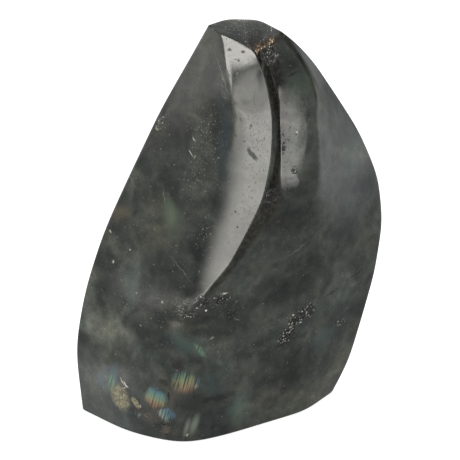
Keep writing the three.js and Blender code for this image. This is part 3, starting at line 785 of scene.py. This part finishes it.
# Faint waves and grain of the polish, and the pits, in millimetres.
relief = calc(tree, "ADD", wave(cloud(0.2, 2)["Fac"], 0.5, 0.04), wave(cloud(1.2, 3)["Fac"], 0.5, 0.006))
relief = calc(tree, "ADD", relief, wave(lines, 0.5, 0.004))
relief = calc(tree, "SUBTRACT", relief, calc(tree, "MULTIPLY", pale, 0.05))
rough_relief = calc(tree, "MULTIPLY", cloud(1.6, 3)["Fac"], 0.22)
rough_relief = calc(tree, "MULTIPLY", rough_relief, calc(tree, "MAXIMUM", raw_skin, crust))
relief = calc(tree, "ADD", relief, rough_relief)
bump = node(tree, "Bump", {"Height": relief, "Strength": 1.0, "Distance": MM})
tree.links.new(bump.outputs["Normal"], shader.inputs["Normal"])
mesh.materials.append(material)

# The floor
# A plain sheet of white paper just under the stone. It glows a little, so that it comes out as pale as the
# photo's, and it stays out of the stone's reflections.
FLOOR_HALF = 4.0
FLOOR_GAP = 0.0002
FLOOR_GREY = 0.5
FLOOR_GLOW = 0.72
floor_mesh = bpy.data.meshes.new("floor")
floor_mesh.from_pydata(
    [(-FLOOR_HALF, -FLOOR_HALF, 0), (FLOOR_HALF, -FLOOR_HALF, 0),
     (FLOOR_HALF, FLOOR_HALF, 0), (-FLOOR_HALF, FLOOR_HALF, 0)], [], [(0, 1, 2, 3)])
floor = bpy.data.objects.new("floor", floor_mesh)
bpy.context.collection.objects.link(floor)
floor.location.z = -FLOOR_GAP
floor.visible_glossy = False
paper = bpy.data.materials.new("white_paper")
paper.use_nodes = True
for socket, value in (("Base Color", (FLOOR_GREY, FLOOR_GREY, FLOOR_GREY, 1)), ("Roughness", 0.9),
                      ("Specular IOR Level", 0.0), ("Emission Color", (1, 1, 1, 1)),
                      ("Emission Strength", FLOOR_GLOW)):
    paper.node_tree.nodes["Principled BSDF"].inputs[socket].default_value = value
floor_mesh.materials.append(paper)

# The light
# A pale studio, seen only by what it lights and by what mirrors it: panes of soft light over the azimuth,
# 0 in front and positive to the right, and the elevation, in degrees. Each edge of a pane is a line in these
# two: the factors of azimuth and elevation, and the sums at which the light starts and is full.
WARM, COOL = (1.04, 1.01, 0.95), (0.94, 1.0, 1.02)
PANES = (
    ("front window", 4.2, WARM,
     ((1, -1.1, -66, -24), (-1, 0, -16, -2), (-0.12, 1, -9.5, -4.5), (0, -1, -20, -12),
      (-1, 5.75, -74, -34), (1, 3, -68, -48))),
    ("front window's top", 4.2, WARM,
     ((1, -0.8, -78, -52), (-1, 0, 2, 10), (0, 1, 12, 20), (0, -1, -46, -38))),
    ("sunlit part", 3.7, WARM,
     ((1, 3.5, -31, -3), (-1, 0, -16, -2), (-0.12, 1, -9.5, -4.5), (0, -1, -5, 1), (-1, 5.75, -74, -34))),
    ("high window", 11.5, WARM,
     ((1, 0.62, -49, -42), (-1, 0, 38, 56), (-1, 1.1, 76, 90), (0, 1, 19, 25))),
    ("skylight", 11.5, WARM,
     ((0, 1, 50, 56), (-1, 0, 0, 30), (1, 0, -62, -48))),
    ("left wall", 1.0, WARM,
     ((1, 0, -124, -100), (-1, 0, 63, 77), (0, 1, -6, 10), (0, -1, -40, -28))),
    ("left window", 3.2, COOL,
     ((1, 0, -147, -137), (-1, 0, 102, 114), (0, 1, -13, -3), (0, -1, -17, -7))),
    ("low left wall", 0.6, COOL,
     ((1, 0, -110, -90), (-1, 0, 40, 76), (0, 1, -38, -30), (0, -1, 12, 22))),
    ("right wall", 1.02, COOL,
     ((1, 0, 84, 104), (-1, 0, -165, -105), (-0.25, 1, -52.5, -49.5), (0, -1, -9, -1))),
    ("dark door in it", -0.34, COOL,
     ((1, 0, 100, 112), (-1, 0, -155, -145), (0, 1, -32, -26), (0, -1, -28, -22))),
    ("far wall, left", 0.15, COOL,
     ((1, 0, -210, -190), (-1, 0, 135, 155), (0, 1, 23, 33), (0, -1, -85, -75))),
    ("far wall, right", 0.15, COOL,
     ((1, 0, 135, 155), (-1, 0, -210, -190), (0, 1, 23, 33), (0, -1, -85, -75))),
    ("window behind, left", 3.0, WARM,
     ((-1, 0, 158, 170), (0, 1, -16, -6), (0, -1, -26, -14))),
    ("window behind, right", 3.0, WARM,
     ((1, 0, 158, 170), (0, 1, -16, -6), (0, -1, -26, -14))),
)
ROOM = {"X": 0.34, "Y": 0.35, "Z": 0.355}
EVEN_LIGHT = 0.9
LIGHT_FROM_ABOVE = 0.7
TO_DEGREES = 180 / math.pi
world = bpy.data.worlds.new("studio")
bpy.context.scene.world = world
world.use_nodes = True
sky = world.node_tree
background = sky.nodes["Background"]
direction = node(sky, "SeparateXYZ", {"Vector": node(sky, "TexCoord").outputs["Generated"]}).outputs
backwards = calc(sky, "MULTIPLY", direction["Y"], -1)
azimuth = calc(sky, "MULTIPLY", calc(sky, "ARCTAN2", direction["X"], backwards), TO_DEGREES)
elevation = calc(sky, "MULTIPLY", calc(sky, "ARCSINE", direction["Z"]), TO_DEGREES)
room = node(sky, "CombineXYZ", ROOM).outputs[0]
for name, light, tint, edges in PANES:
    share = light
    for azimuth_factor, elevation_factor, starts, full in edges:
        across = calc(sky, "ADD", calc(sky, "MULTIPLY", azimuth, azimuth_factor),
                      calc(sky, "MULTIPLY", elevation, elevation_factor))
        share = calc(sky, "MULTIPLY", fade(sky, across, starts, full), share)
    glow = node(sky, "VectorMath", {0: tint, "Scale": share}, operation="SCALE", label=name).outputs[0]
    room = node(sky, "VectorMath", {0: room, 1: glow}, operation="ADD").outputs[0]
from_above = calc(sky, "MULTIPLY", fade(sky, direction["Z"], -0.2, 1.0), LIGHT_FROM_ABOVE)
even = calc(sky, "ADD", EVEN_LIGHT, from_above)
rays = node(sky, "LightPath").outputs
seen = blend(sky, rays["Is Glossy Ray"], even, room)
seen = blend(sky, rays["Is Camera Ray"], seen, (1, 1, 1, 1))
sky.links.new(seen, background.inputs["Color"])

# The camera
# It looks down on the front at the photo's angle. The lens is worked out from the photo's scale.
CAMERA_ELEVATION = math.radians(25)
CAMERA_DISTANCE = 0.7
TARGET = (0.0003, 0.0028, 0.06146)
PIXELS_PER_METRE = 3120
FRAME_PIXELS = 460
SENSOR_WIDTH = 36
camera_data = bpy.data.cameras.new("camera")
camera = bpy.data.objects.new("camera", camera_data)
bpy.context.collection.objects.link(camera)
camera.location = (TARGET[0], TARGET[1] - CAMERA_DISTANCE * math.cos(CAMERA_ELEVATION),
                   TARGET[2] + CAMERA_DISTANCE * math.sin(CAMERA_ELEVATION))
camera.rotation_euler = (math.pi / 2 - CAMERA_ELEVATION, 0, 0)
camera_data.sensor_width = SENSOR_WIDTH
camera_data.lens = SENSOR_WIDTH * PIXELS_PER_METRE * CAMERA_DISTANCE / FRAME_PIXELS
bpy.context.scene.camera = camera
bpy.context.scene.view_settings.view_transform = "Standard"
